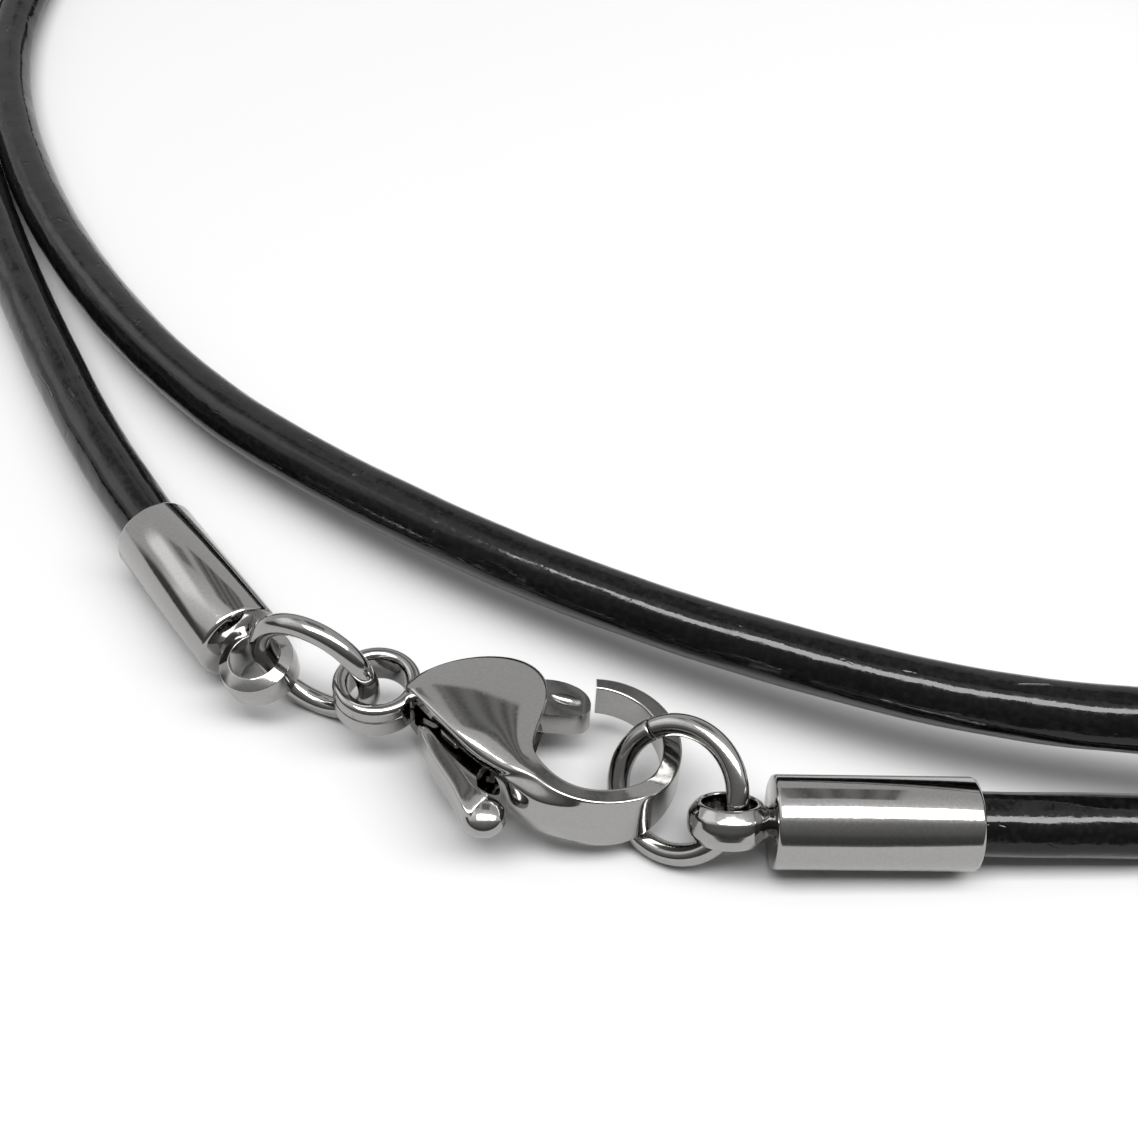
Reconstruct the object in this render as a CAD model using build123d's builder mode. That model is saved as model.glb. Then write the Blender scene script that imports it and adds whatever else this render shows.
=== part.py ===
"""Leather cord necklace with a steel lobster clasp, in millimetres.

A round leather cord lies on a table in two turns. Each end is glued into a tubular end cap
with a loop soldered on its end. A jump ring links the left loop to the eye of the clasp, and
the clasp's hook holds the jump ring of the right loop. The table is z = 0, and the origin is
on it, under the middle of the steel pieces. X runs to the right along the front, and Y away.
"""
from build123d import *
import math
import os

os.makedirs("parts", exist_ok=True)

# Cord
CORD_DIAMETER = 3.0
CORD_FIT = 0.05  # gap all round between the cord and the bore of its end cap

# End caps and their loops
CAP_DIAMETER = 4.25
CAP_LENGTH = 9.2
CAP_END_WALL = 1.2
CAP_CHAMFER = 0.15
LOOP_DIAMETER = 3.76
LOOP_HOLE = 2.5
LOOP_HEIGHT = 1.85
LOOP_ROUNDING = 0.25
LOOP_STANDOFF = 0.02  # from the loop to the cap's end face, filled by the solder
SOLDER_DIAMETER = 1.5

# Jump rings, both alike
RING_DIAMETER = 5.9  # at the middle of the wire
RING_WIRE = 1.05
RING_CUT = 0.06  # width of the butt joint

# Hook of the clasp
HOOK_DIAMETER = 7.72  # outside
HOOK_WALL = 0.92
HOOK_HEIGHT = 3.4
HOOK_FRONT_HEIGHT = 2.0  # of the thin stretch that ends in the tip
HOOK_ROOT_ANGLE = 215.0  # where the hook leaves the shell, from the clasp's long axis
HOOK_TIP_ANGLE = 110.0
HOOK_THIN_BEARING = 55.5  # the direction in which the band thins, from the clasp's long axis
THIN_FROM = -0.2  # where the band starts to thin on that bearing, as a share of its radius
THIN_TO = 0.36  # where it has its front height
HEEL_REACH = 0.95  # how far the heel of the hook bulges past the band
HEEL_HEIGHT = 2.4
HEEL_START = (0.30, -0.95)  # where its curve leaves the band, in shares of the hook's radius
HEEL_FAR = (-0.55, -0.97)  # where it reaches furthest, before the reach itself is added
HEEL_END = (-0.80, -0.60)  # where it meets the band again
HEEL_SIDE = 0.5  # its straight side beside the lever, as a share of the reach
HEEL_TANGENTS = [(-0.95, -0.30), (-0.75, 0.05)]  # of the curve, at its start and furthest point

# Shell and eye of the clasp
EYE_REACH = 11.0  # from the middle of the hook to the middle of the eye
EYE_DIAMETER = 4.2
EYE_HOLE = 2.8
EYE_HEIGHT = 1.9
EYE_ROUNDING = 0.2
SHELL_WIDTH = 6.35
SHELL_HEIGHT = 4.2  # at the top of the dome
SHELL_EDGE_HEIGHT = 3.4
SHELL_NECK = 0.1  # metal left between the eye's hole and the shell
SHELL_OVERHANG = 0.3  # how far the shell reaches in past the inside of the hook
DOME_AT = 0.55  # the top of the dome, as a share of the shell's length

# Lever and its pin
LEVER_THICKNESS = 1.4
LEVER_SIDE_GAP = 0.05
THUMB_RIM_HEIGHT = 1.9
THUMB_BALL = 2.0
PIN_DIAMETER = 0.9
PIN_FIT = 0.04  # gap all round in the lever
PIN_SEAT_FIT = 0.02  # gap all round and at each end in the cheeks
PIN_LENGTH = 2.7

# How the pieces lie: bearings are seen from above, from +X towards +Y
HOOK_AT = (3.71, -4.84)
CLASP_BEARING = -18.9
CLASP_PITCH = 1.1  # the eye end is higher
CLASP_ROLL = 4.3  # the front limb of the hook is higher
UNDER_HOOK_GAP = 0.25
RIGHT_RING_BEARING = -26.1  # of its middle, from the middle of the hook
RIGHT_RING_OFFSET = 0.1  # of its middle, past the outside of the hook
RIGHT_RING_FACING = 230.7
RIGHT_RING_LEAN = 47.6  # its axis from the vertical
RIGHT_RING_CUT_TURN = 120.0
RIGHT_LOOP_BEARING = -34.5  # of the loop, from the middle of the ring
RIGHT_LOOP_SLACK = 0.215  # the loop's middle is this far inside the ring's wire
RIGHT_CAP_BEARING = 0.47
RIGHT_LOOP_ROLL = 39.5
CAP_RISE = 2.2  # the loop end is lifted by its ring
LEFT_RING_BEARING = 161.7  # of its middle, from the middle of the eye
LEFT_RING_OFFSET = 0.26  # of its middle, past the ring's own radius
LEFT_RING_FACING = 66.2
LEFT_RING_LEAN = 90.0
LEFT_RING_CUT_TURN = 265.0
LEFT_LOOP_BEARING = 166.1
LEFT_LOOP_SLACK = 0.05
LEFT_CAP_BEARING = 126.9
LEFT_LOOP_ROLL = 8.0

# The cord's route from cap to cap, chosen by hand. Its two ends come from the caps.
CORD_ROUTE = [
    (48.0, -1.0, 1.5),
    (56.5, 14.5, 1.5),
    (58.0, 34.0, 1.5),
    (54.5, 53.5, 1.5),
    (44.5, 69.0, 1.5),
    (29.0, 79.5, 1.5),
    (12.5, 85.3, 1.5),
    (-3.5, 86.5, 1.5),
    (-17.5, 85.4, 1.5),
    (-29.0, 80.7, 1.5),
    (-37.4, 72.0, 1.5),
    (-38.6, 60.0, 1.5),
    (-36.4, 48.8, 1.5),
    (-29.9, 34.5, 1.5),
    (-19.5, 20.8, 1.5),
    (-8.2, 12.2, 1.5),
    (5.2, 4.4, 2.0),
    (20.0, -1.9, 4.2),
    (31.5, -4.5, 7.5),
    (43.0, -6.6, 7.5),
    (54.0, -5.0, 4.5),
    (62.0, 3.5, 1.5),
    (64.8, 17.0, 1.5),
    (65.0, 34.5, 1.5),
    (61.0, 54.0, 1.5),
    (51.5, 71.0, 1.5),
    (35.5, 83.5, 1.5),
    (16.5, 89.4, 1.5),
    (-3.5, 90.7, 1.5),
    (-22.5, 89.3, 1.5),
    (-37.0, 81.2, 1.5),
    (-43.0, 67.5, 1.5),
    (-41.3, 53.8, 1.5),
    (-35.8, 39.4, 1.5),
    (-29.0, 25.7, 1.5),
]
FIRST_FREE_POINT = 22.0  # of the right end, from the middle of the loop along the cap's axis
LAST_FREE_POINT = 15.0  # of the left end, in the same way
ARC_SHARE = 0.45  # of the shorter run beside each corner

ring_radius = RING_DIAMETER / 2
hook_radius = HOOK_DIAMETER / 2
hook_inner_radius = hook_radius - HOOK_WALL
loop_reach = LOOP_DIAMETER / 2 + LOOP_STANDOFF
cap_reach = loop_reach + CAP_LENGTH
cap_bore = CORD_DIAMETER + 2 * CORD_FIT
slot_height = LEVER_THICKNESS + 2 * LEVER_SIDE_GAP


def heading(bearing, rise=0.0):
    """The unit vector along a bearing, climbing by a rise, both in degrees."""
    level = math.cos(math.radians(rise))
    return Vector(
        level * math.cos(math.radians(bearing)),
        level * math.sin(math.radians(bearing)),
        math.sin(math.radians(rise)),
    )


def frame_along(origin, bearing, rise=0.0, roll=0.0):
    """A plane whose X runs along a bearing and whose Z leans to the left of it by the roll."""
    forward = heading(bearing, rise)
    left = heading(bearing + 90)
    up = forward.cross(left)
    leaning = up * math.cos(math.radians(roll)) + left * math.sin(math.radians(roll))
    return Plane(origin=origin, x_dir=forward, z_dir=leaning)


def section_plane(frame, turn=0.0):
    """The plane that holds a frame's Z axis, for a section that is turned round that axis."""
    radial = frame.x_dir.rotate(Axis((0, 0, 0), frame.z_dir), turn)
    return Plane(origin=frame.origin, x_dir=radial, z_dir=radial.cross(frame.z_dir))


# Places, worked out along the chain from the hook
near_limb = hook_radius * math.sin(math.radians(CLASP_ROLL))
hook_middle = Vector(*HOOK_AT, RING_WIRE + UNDER_HOOK_GAP + HOOK_HEIGHT / 2 - near_limb)
clasp = frame_along(hook_middle, CLASP_BEARING, -CLASP_PITCH, CLASP_ROLL)
eye_middle = clasp.from_local_coords(Vector(-EYE_REACH, 0, 0))


def ring_frame(start, bearing, distance, facing, lean):
    """The frame of a jump ring that stands on the table, its middle a distance from start."""
    middle = Vector(start.X, start.Y, 0) + heading(bearing) * distance
    middle.Z = RING_WIRE / 2 + ring_radius * math.sin(math.radians(lean))
    return Plane(origin=middle, x_dir=heading(facing + 90), z_dir=heading(facing, 90 - lean))


def loop_frame(ring, loop_bearing, slack, cap_bearing, roll):
    """The frame of a cap's loop, X along the cap, with the cap's mouth down on the table."""
    middle = ring.origin + heading(loop_bearing) * (ring_radius - slack)
    mouth_height = CAP_DIAMETER / 2 * math.cos(math.radians(CAP_RISE))
    middle.Z = mouth_height + cap_reach * math.sin(math.radians(CAP_RISE))
    return frame_along(middle, cap_bearing, -CAP_RISE, roll)


right_ring_place = ring_frame(
    hook_middle,
    RIGHT_RING_BEARING,
    hook_radius + RIGHT_RING_OFFSET,
    RIGHT_RING_FACING,
    RIGHT_RING_LEAN,
)
left_ring_place = ring_frame(
    eye_middle,
    LEFT_RING_BEARING,
    ring_radius + LEFT_RING_OFFSET,
    LEFT_RING_FACING,
    LEFT_RING_LEAN,
)
right_loop_place = loop_frame(
    right_ring_place, RIGHT_LOOP_BEARING, RIGHT_LOOP_SLACK, RIGHT_CAP_BEARING, RIGHT_LOOP_ROLL
)
left_loop_place = loop_frame(
    left_ring_place, LEFT_LOOP_BEARING, LEFT_LOOP_SLACK, LEFT_CAP_BEARING, LEFT_LOOP_ROLL
)


def on_axis(loop, distance):
    """A point on a cap's axis, at a distance from the middle of its loop."""
    return loop.origin + loop.x_dir * distance


def axis_plane(loop, distance):
    """The plane across a cap's axis, at a distance from the middle of its loop."""
    return Plane(origin=on_axis(loop, distance), x_dir=loop.z_dir, z_dir=loop.x_dir)


# End caps: a drilled tube with a loop soldered on its closed end, in one solid
def make_end_cap(loop):
    with BuildPart() as end_cap:
        with BuildSketch(axis_plane(loop, loop_reach)):
            Circle(CAP_DIAMETER / 2)
        extrude(amount=CAP_LENGTH)
        chamfer(end_cap.edges().filter_by(GeomType.CIRCLE), CAP_CHAMFER)
        with BuildSketch(axis_plane(loop, loop_reach + CAP_END_WALL)):
            Circle(cap_bore / 2)
        extrude(amount=CAP_LENGTH, mode=Mode.SUBTRACT)
        loop_wall = (LOOP_DIAMETER - LOOP_HOLE) / 2
        with BuildSketch(section_plane(loop)):
            with Locations((LOOP_HOLE / 2 + loop_wall / 2, 0)):
                RectangleRounded(loop_wall, LOOP_HEIGHT, LOOP_ROUNDING)
        revolve(axis=Axis(loop.origin, loop.z_dir))
        with BuildSketch(axis_plane(loop, LOOP_DIAMETER / 2 - loop_wall / 2)):
            Circle(SOLDER_DIAMETER / 2)
        extrude(amount=loop_wall / 2 + LOOP_STANDOFF + CAP_CHAMFER)
    return end_cap.part


cord_end_right = make_end_cap(right_loop_place)
cord_end_right.label = "cord_end_right"
cord_end_left = make_end_cap(left_loop_place)
cord_end_left.label = "cord_end_left"


# Jump rings: round wire bent into a ring, with its two ends butted together
def make_jump_ring(ring, cut_turn):
    cut_angle = math.degrees(RING_CUT / ring_radius)
    with BuildPart() as jump_ring:
        with BuildSketch(section_plane(ring, cut_turn + cut_angle / 2)):
            with Locations((ring_radius, 0)):
                Circle(RING_WIRE / 2)
        revolve(axis=Axis(ring.origin, ring.z_dir), revolution_arc=360 - cut_angle)
    return jump_ring.part


jump_ring_right = make_jump_ring(right_ring_place, RIGHT_RING_CUT_TURN)
jump_ring_right.label = "jump_ring_right"
jump_ring_left = make_jump_ring(left_ring_place, LEFT_RING_CUT_TURN)
jump_ring_left.label = "jump_ring_left"

# Outlines of the clasp, seen from above. Each point is a share along the shell, from the eye's
# wall to the hook, and a share of the shell's width, to the far side.
shell_start = -EYE_REACH + EYE_HOLE / 2 + SHELL_NECK
shell_length = SHELL_OVERHANG - hook_inner_radius - shell_start


def shell_point(along, across):
    return (shell_start + along * shell_length, across * SHELL_WIDTH)


SHELL_FAR_SIDE = [(0.0, 0.05), (0.26, 0.33), (0.61, 0.50), (0.87, 0.37)]
SHELL_HOOK_SIDE = [(0.87, 0.37), (0.94, 0.10), (0.96, -0.14), (1.07, -0.39)]
SHELL_NEAR_SIDE = [(1.0, -0.49), (0.70, -0.46), (0.25, -0.20), (0.0, -0.05)]
SLOT_OUTLINE = [
    (0.095, -0.80),
    (0.095, -0.04),
    (0.19, 0.08),
    (0.33, 0.21),
    (0.48, 0.315),
    (0.62, 0.36),
    (0.71, 0.345),
    (1.04, 0.345),
    (1.04, -0.20),
    (0.885, -0.30),
    (0.87, -0.80),
]
PIVOT_AT = (0.595, 0.0)
LEVER_ARM = [
    (0.50, 0.13),
    (0.66, 0.25),
    (0.74, 0.315),
    (0.91, 0.33),
    (0.905, 0.43),
    (1.06, 0.49),
]
GATE_NOSE = [(1.06, 0.49), (1.235, 0.33), (1.045, 0.19)]
LEVER_ARM_BACK = [(1.045, 0.19), (0.885, 0.135), (0.78, 0.0), (0.77, -0.16), (0.71, -0.35)]
THUMB_INNER = [(0.71, -0.35), (0.69, -0.50), (0.78, -0.70)]
THUMB_OUTER = [(0.67, -0.79), (0.51, -0.61), (0.31, -0.40), (0.205, -0.265)]
LEVER_TAIL = [(0.205, -0.265), (0.23, -0.205), (0.34, -0.12), (0.43, -0.01), (0.50, 0.13)]
THUMB_RIM_INNER = [(0.80, -0.74), (0.55, -0.52), (0.29, -0.33)]
THUMB_BALL_AT = (0.85, -0.81)

# Hook: a round band that thins towards its tip
with BuildPart() as hook:
    band_angle = HOOK_ROOT_ANGLE - HOOK_TIP_ANGLE
    band_middle = hook_radius - HOOK_WALL / 2
    with BuildSketch(section_plane(clasp, HOOK_TIP_ANGLE)):
        with Locations((band_middle, 0)):
            Rectangle(HOOK_WALL, HOOK_HEIGHT)
    revolve(axis=Axis(clasp.origin, -clasp.z_dir), revolution_arc=360 - band_angle)
    with BuildSketch(section_plane(clasp, HOOK_THIN_BEARING)) as thinning:
        reach = hook_radius * 2
        full = HOOK_HEIGHT / 2
        thin = HOOK_FRONT_HEIGHT / 2
        with BuildLine():
            Polyline(
                (-reach, -full),
                (THIN_FROM * hook_radius, -full),
                (THIN_TO * hook_radius, -thin),
                (reach, -thin),
                (reach, thin),
                (THIN_TO * hook_radius, thin),
                (THIN_FROM * hook_radius, full),
                (-reach, full),
                close=True,
            )
        make_face()
    extrude(amount=reach, both=True, mode=Mode.INTERSECT)

# Heel: the bulge at the front of the hook, beside the thumb ball
with BuildPart() as heel:
    with BuildSketch(clasp.offset(-HEEL_HEIGHT / 2)):
        with BuildLine():
            heel_start = Vector(*HEEL_START) * hook_radius
            heel_end = Vector(*HEEL_END) * hook_radius
            heel_far = Vector(*HEEL_FAR) * hook_radius - Vector(0, HEEL_REACH)
            Spline(heel_start, heel_far, tangents=HEEL_TANGENTS)
            Polyline(
                heel_far,
                (heel_end.X, heel_far.Y + HEEL_SIDE * HEEL_REACH),
                heel_end,
                (0, -hook_inner_radius - HOOK_WALL / 2),
                heel_start,
            )
        make_face()
    extrude(amount=HEEL_HEIGHT)

# Shell: a hollow teardrop, domed above and below
with BuildPart() as shell:
    with BuildSketch(clasp.offset(-SHELL_HEIGHT / 2)):
        with BuildLine():
            Spline([shell_point(*share) for share in SHELL_FAR_SIDE])
            Spline([shell_point(*share) for share in SHELL_HOOK_SIDE])
            Line(shell_point(*SHELL_HOOK_SIDE[-1]), shell_point(*SHELL_NEAR_SIDE[0]))
            Spline([shell_point(*share) for share in SHELL_NEAR_SIDE])
            Line(shell_point(*SHELL_NEAR_SIDE[-1]), shell_point(*SHELL_FAR_SIDE[0]))
        make_face()
    extrude(amount=SHELL_HEIGHT)
    dome_rise = (SHELL_HEIGHT - SHELL_EDGE_HEIGHT) / 2
    dome_radius = ((SHELL_WIDTH / 2) ** 2 + dome_rise**2) / (2 * dome_rise)
    dome_depth = dome_radius - SHELL_HEIGHT / 2
    dome_along, dome_across = shell_point(DOME_AT, 0.0)
    for side in (1, -1):
        dome_middle = clasp.from_local_coords(Vector(dome_along, dome_across, -side * dome_depth))
        with Locations(dome_middle):
            Sphere(dome_radius, mode=Mode.INTERSECT)

# Clasp body: hook, heel, shell and eye cast in one, slotted for the lever
with BuildPart() as clasp_body:
    add(hook.part)
    add(heel.part)
    add(shell.part)
    with BuildSketch(section_plane(Plane(eye_middle, x_dir=clasp.x_dir, z_dir=clasp.z_dir))):
        eye_wall = (EYE_DIAMETER - EYE_HOLE) / 2
        with Locations((EYE_HOLE / 2 + eye_wall / 2, 0)):
            RectangleRounded(eye_wall, EYE_HEIGHT, EYE_ROUNDING)
    revolve(axis=Axis(eye_middle, clasp.z_dir))
    with BuildSketch(clasp.offset(-slot_height / 2)):
        with BuildLine():
            Polyline([shell_point(*share) for share in SLOT_OUTLINE], close=True)
        make_face()
    extrude(amount=slot_height, mode=Mode.SUBTRACT)
    with BuildSketch(clasp.offset(-PIN_LENGTH / 2 - PIN_SEAT_FIT)):
        with Locations(shell_point(*PIVOT_AT)):
            Circle(PIN_DIAMETER / 2 + PIN_SEAT_FIT)
    extrude(amount=PIN_LENGTH + 2 * PIN_SEAT_FIT, mode=Mode.SUBTRACT)
clasp_body.part.label = "clasp_body"

# Pin of the lever, hidden in blind seats in the two cheeks
with BuildPart() as clasp_pivot:
    with BuildSketch(clasp.offset(-PIN_LENGTH / 2)):
        with Locations(shell_point(*PIVOT_AT)):
            Circle(PIN_DIAMETER / 2)
    extrude(amount=PIN_LENGTH)
clasp_pivot.part.label = "clasp_pivot"

# Lever: a flat plate with the gate on one end, and a rimmed thumb strip and ball on the other
with BuildPart() as clasp_lever:
    with BuildSketch(clasp.offset(-LEVER_THICKNESS / 2)):
        with BuildLine():
            Polyline([shell_point(*share) for share in LEVER_ARM])
            ThreePointArc(*[shell_point(*share) for share in GATE_NOSE])
            Polyline([shell_point(*share) for share in LEVER_ARM_BACK])
            Polyline([shell_point(*share) for share in THUMB_INNER])
            Line(shell_point(*THUMB_INNER[-1]), shell_point(*THUMB_OUTER[0]))
            Spline([shell_point(*share) for share in THUMB_OUTER])
            Polyline([shell_point(*share) for share in LEVER_TAIL])
        make_face()
    extrude(amount=LEVER_THICKNESS)
    with BuildSketch(clasp.offset(-THUMB_RIM_HEIGHT / 2)):
        with BuildLine():
            Spline([shell_point(*share) for share in THUMB_OUTER[:-1]])
            Line(shell_point(*THUMB_OUTER[-2]), shell_point(*THUMB_RIM_INNER[-1]))
            Polyline([shell_point(*share) for share in THUMB_RIM_INNER])
            Line(shell_point(*THUMB_RIM_INNER[0]), shell_point(*THUMB_OUTER[0]))
        make_face()
    extrude(amount=THUMB_RIM_HEIGHT)
    ball_along, ball_across = shell_point(*THUMB_BALL_AT)
    with Locations(clasp.from_local_coords(Vector(ball_along, ball_across, 0))):
        Sphere(THUMB_BALL / 2)
    with BuildSketch(clasp.offset(-LEVER_THICKNESS / 2)):
        with Locations(shell_point(*PIVOT_AT)):
            Circle(PIN_DIAMETER / 2 + PIN_FIT)
    extrude(amount=LEVER_THICKNESS, mode=Mode.SUBTRACT)
clasp_lever.part.label = "clasp_lever"

# Cord: straight runs joined by tangent arcs as large as the runs allow
cord_points = [
    on_axis(right_loop_place, loop_reach + CAP_END_WALL),
    on_axis(right_loop_place, FIRST_FREE_POINT),
    *[Vector(*point) for point in CORD_ROUTE],
    on_axis(left_loop_place, LAST_FREE_POINT),
    on_axis(left_loop_place, loop_reach + CAP_END_WALL),
]
cord_runs = [end - start for start, end in zip(cord_points, cord_points[1:])]
cord_radii = []
for run, next_run in zip(cord_runs, cord_runs[1:]):
    half_turn = math.radians(run.get_angle(next_run) / 2)
    cord_radii.append(ARC_SHARE * min(run.length, next_run.length) / math.tan(half_turn))

with BuildPart() as leather_cord:
    with BuildLine() as cord_line:
        FilletPolyline(*cord_points, radius=cord_radii)
    cord_path = cord_line.wire()
    with BuildSketch(Plane(origin=cord_path @ 0, z_dir=cord_path % 0)):
        Circle(CORD_DIAMETER / 2)
    sweep()
leather_cord.part.label = "leather_cord"

plain_volume = math.pi * CORD_DIAMETER**2 / 4 * cord_path.length
print("cord runs", [round(run.length, 1) for run in cord_runs])
print("cord radii", [round(radius, 1) for radius in cord_radii])
print("cord length", round(cord_path.length, 1))
print("cord volume over section times length", leather_cord.part.volume / plain_volume)
print("pivot", clasp.from_local_coords(Vector(*shell_point(*PIVOT_AT), 0)), "axis", clasp.z_dir)

export_step(cord_end_right, "parts/cord_end_right.step")
export_step(cord_end_left, "parts/cord_end_left.step")
export_step(jump_ring_right, "parts/jump_ring_right.step")
export_step(jump_ring_left, "parts/jump_ring_left.step")
export_step(clasp_body.part, "parts/clasp_body.step")
export_step(clasp_pivot.part, "parts/clasp_pivot.step")
export_step(clasp_lever.part, "parts/clasp_lever.step")
export_step(leather_cord.part, "parts/leather_cord.step")
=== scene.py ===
# %% [markdown]
# # A leather cord necklace, modelled and finished in Blender
#
# The necklace is a round black leather cord that lies in two turns on a white table. Steel end
# caps hold its two ends, and a lobster clasp joins them through two jump rings.
# The construction model is loaded first and stays as it is. Every piece here is modelled round it,
# in the same place and at the same size, so the necklace still opens and collides as built.

# %% Load the construction model
import math

import bmesh
import bpy
from mathutils import Matrix, Vector, noise


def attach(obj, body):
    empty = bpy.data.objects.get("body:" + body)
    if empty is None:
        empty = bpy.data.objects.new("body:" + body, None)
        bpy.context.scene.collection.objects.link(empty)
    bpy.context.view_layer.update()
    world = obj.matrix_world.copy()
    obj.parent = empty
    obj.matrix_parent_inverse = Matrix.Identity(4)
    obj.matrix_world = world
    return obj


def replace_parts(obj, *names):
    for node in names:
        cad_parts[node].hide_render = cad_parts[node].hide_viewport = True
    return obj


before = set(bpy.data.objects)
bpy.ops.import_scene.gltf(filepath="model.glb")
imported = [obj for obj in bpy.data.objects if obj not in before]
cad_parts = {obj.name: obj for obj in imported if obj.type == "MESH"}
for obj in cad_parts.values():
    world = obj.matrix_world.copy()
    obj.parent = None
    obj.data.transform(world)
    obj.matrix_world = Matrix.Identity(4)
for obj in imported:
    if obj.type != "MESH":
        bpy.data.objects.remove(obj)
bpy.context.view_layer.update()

MM = 0.001  # the pieces are modelled in millimetres, and the scene is in metres
IN_METRES = Matrix.Scale(MM, 4)
MERGE_WITHIN = 1e-5  # millimetres between two points that are the same

# %% [markdown]
# ## The camera
#
# The picture was taken from close by, looking down at 50 degrees with a normal lens. A camera this
# near sees the front of the clasp much larger than the back of the cord, so its distance matters as
# much as its angle. Blender starts to draw 10 cm from a camera, which would cut the necklace off.

# %% Camera
CAMERA_AT = (2.38, -44.13, 63.0)
CAMERA_TILT = 40.0  # from straight down
LENS = 49.1
SENSOR = 36.0
CLOSEST_DRAWN = 0.001  # metres

camera_data = bpy.data.cameras.new("camera")
camera_data.lens = LENS
camera_data.sensor_width = SENSOR
camera_data.clip_start = CLOSEST_DRAWN
camera = bpy.data.objects.new("camera", camera_data)
camera.location = Vector(CAMERA_AT) * MM
camera.rotation_euler = (math.radians(CAMERA_TILT), 0, 0)
bpy.context.collection.objects.link(camera)
bpy.context.scene.camera = camera
print("camera at", CAMERA_AT, "mm")

# %% [markdown]
# ## Places
#
# Each steel piece is modelled flat, round its own middle, and then turned and moved into place by
# one matrix. A bearing is a direction on the table, seen from above, from +X towards +Y.
# The places follow the chain from the hook of the clasp outwards, as the pieces hang in each other.

# %% Sizes of the steel pieces
CORD_DIAMETER = 3.0
CAP_DIAMETER = 4.25
CAP_LENGTH = 9.2
CAP_END_WALL = 1.2
CAP_BORE = 3.1
LOOP_DIAMETER = 3.76
LOOP_HOLE = 2.5
LOOP_HEIGHT = 1.85
LOOP_ROUNDING = 0.1
LOOP_STANDOFF = 0.02
RING_DIAMETER = 5.9  # at the middle of the wire
RING_WIRE = 1.05
HOOK_DIAMETER = 7.72
HOOK_HEIGHT = 3.4
EYE_REACH = 11.0
EYE_DIAMETER = 4.2
EYE_HOLE = 2.8
EYE_HEIGHT = 1.9
EYE_ROUNDING = 0.33
EYE_GROOVE = 0.07  # half the width of the parting line, and its depth

ring_radius = RING_DIAMETER / 2
hook_radius = HOOK_DIAMETER / 2
loop_reach = LOOP_DIAMETER / 2 + LOOP_STANDOFF
cap_reach = loop_reach + CAP_LENGTH


# %% Frames that place the pieces
def heading(bearing, rise=0.0):
    """The direction of a bearing that rises by some degrees from the table."""
    level = math.cos(math.radians(rise))
    return Vector(
        (
            level * math.cos(math.radians(bearing)),
            level * math.sin(math.radians(bearing)),
            math.sin(math.radians(rise)),
        )
    )


def axes_at(origin, x_axis, z_axis):
    """The matrix that puts a piece's own X and Z along two directions, at an origin."""
    y_axis = z_axis.cross(x_axis)
    turned = Matrix((x_axis, y_axis, z_axis)).transposed()
    return Matrix.Translation(origin) @ turned.to_4x4()


def frame_along(origin, bearing, rise=0.0, roll=0.0):
    """A frame with its X along a bearing, rolled to the left round that X."""
    forward = heading(bearing, rise)
    left = heading(bearing + 90)
    roll = math.radians(roll)
    leaning = forward.cross(left) * math.cos(roll) + left * math.sin(roll)
    return axes_at(origin, forward, leaning)


def ring_frame(start, bearing, distance, facing, lean):
    """A jump ring that stands on the table, its middle at a distance from start."""
    middle = Vector((start.x, start.y, 0)) + heading(bearing) * distance
    middle.z = RING_WIRE / 2 + ring_radius * math.sin(math.radians(lean))
    return axes_at(middle, heading(facing + 90), heading(facing, 90 - lean))


def loop_frame(ring, loop_bearing, slack, cap_bearing, roll, rise=2.2):
    """The loop of an end cap, X along the cap, whose mouth rests on the table."""
    middle = ring.translation + heading(loop_bearing) * (ring_radius - slack)
    mouth_height = CAP_DIAMETER / 2 * math.cos(math.radians(rise))
    middle.z = mouth_height + cap_reach * math.sin(math.radians(rise))
    return frame_along(middle, cap_bearing, -rise, roll)


print("bearing 90 points along", [round(value, 2) for value in heading(90)])

# %% Where each piece lies
HOOK_AT = (3.71, -4.84)  # seen from above
CLASP_BEARING = -18.9
CLASP_RISE = -1.1
CLASP_ROLL = 4.3
UNDER_HOOK_GAP = 0.25
RIGHT_RING_OUT = 0.1  # what each ring's middle lies further out than its hook or eye asks
LEFT_RING_OUT = 0.26

roll_lowers = hook_radius * math.sin(math.radians(CLASP_ROLL))
hook_height = RING_WIRE + UNDER_HOOK_GAP + HOOK_HEIGHT / 2 - roll_lowers
clasp = frame_along(Vector((*HOOK_AT, hook_height)), CLASP_BEARING, CLASP_RISE, CLASP_ROLL)
eye_middle = clasp @ Vector((-EYE_REACH, 0, 0))
right_distance = hook_radius + RIGHT_RING_OUT
left_distance = ring_radius + LEFT_RING_OUT
right_ring = ring_frame(
    clasp.translation, bearing=-26.1, distance=right_distance, facing=230.7, lean=47.6
)
left_ring = ring_frame(eye_middle, bearing=161.7, distance=left_distance, facing=66.2, lean=90.0)
right_loop = loop_frame(right_ring, loop_bearing=-34.5, slack=0.215, cap_bearing=0.47, roll=39.5)
left_loop = loop_frame(left_ring, loop_bearing=166.1, slack=0.05, cap_bearing=126.9, roll=8.0)
for title, place in (("hook", clasp), ("right loop", right_loop), ("left loop", left_loop)):
    print(title, "at", [round(value, 2) for value in place.translation])

# %% [markdown]
# ## The cord's line
#
# A leather cord can't kink, so its line is one smooth NURBS curve. The control points lie along the
# two turns, one to two centimetres apart, and the curve passes inside each corner, as leather does.
# An order of three makes it a quadratic curve, and the endpoint setting makes it start and end
# exactly in the two caps. Both are set after the points, or Blender falls back to straight runs.

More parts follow.
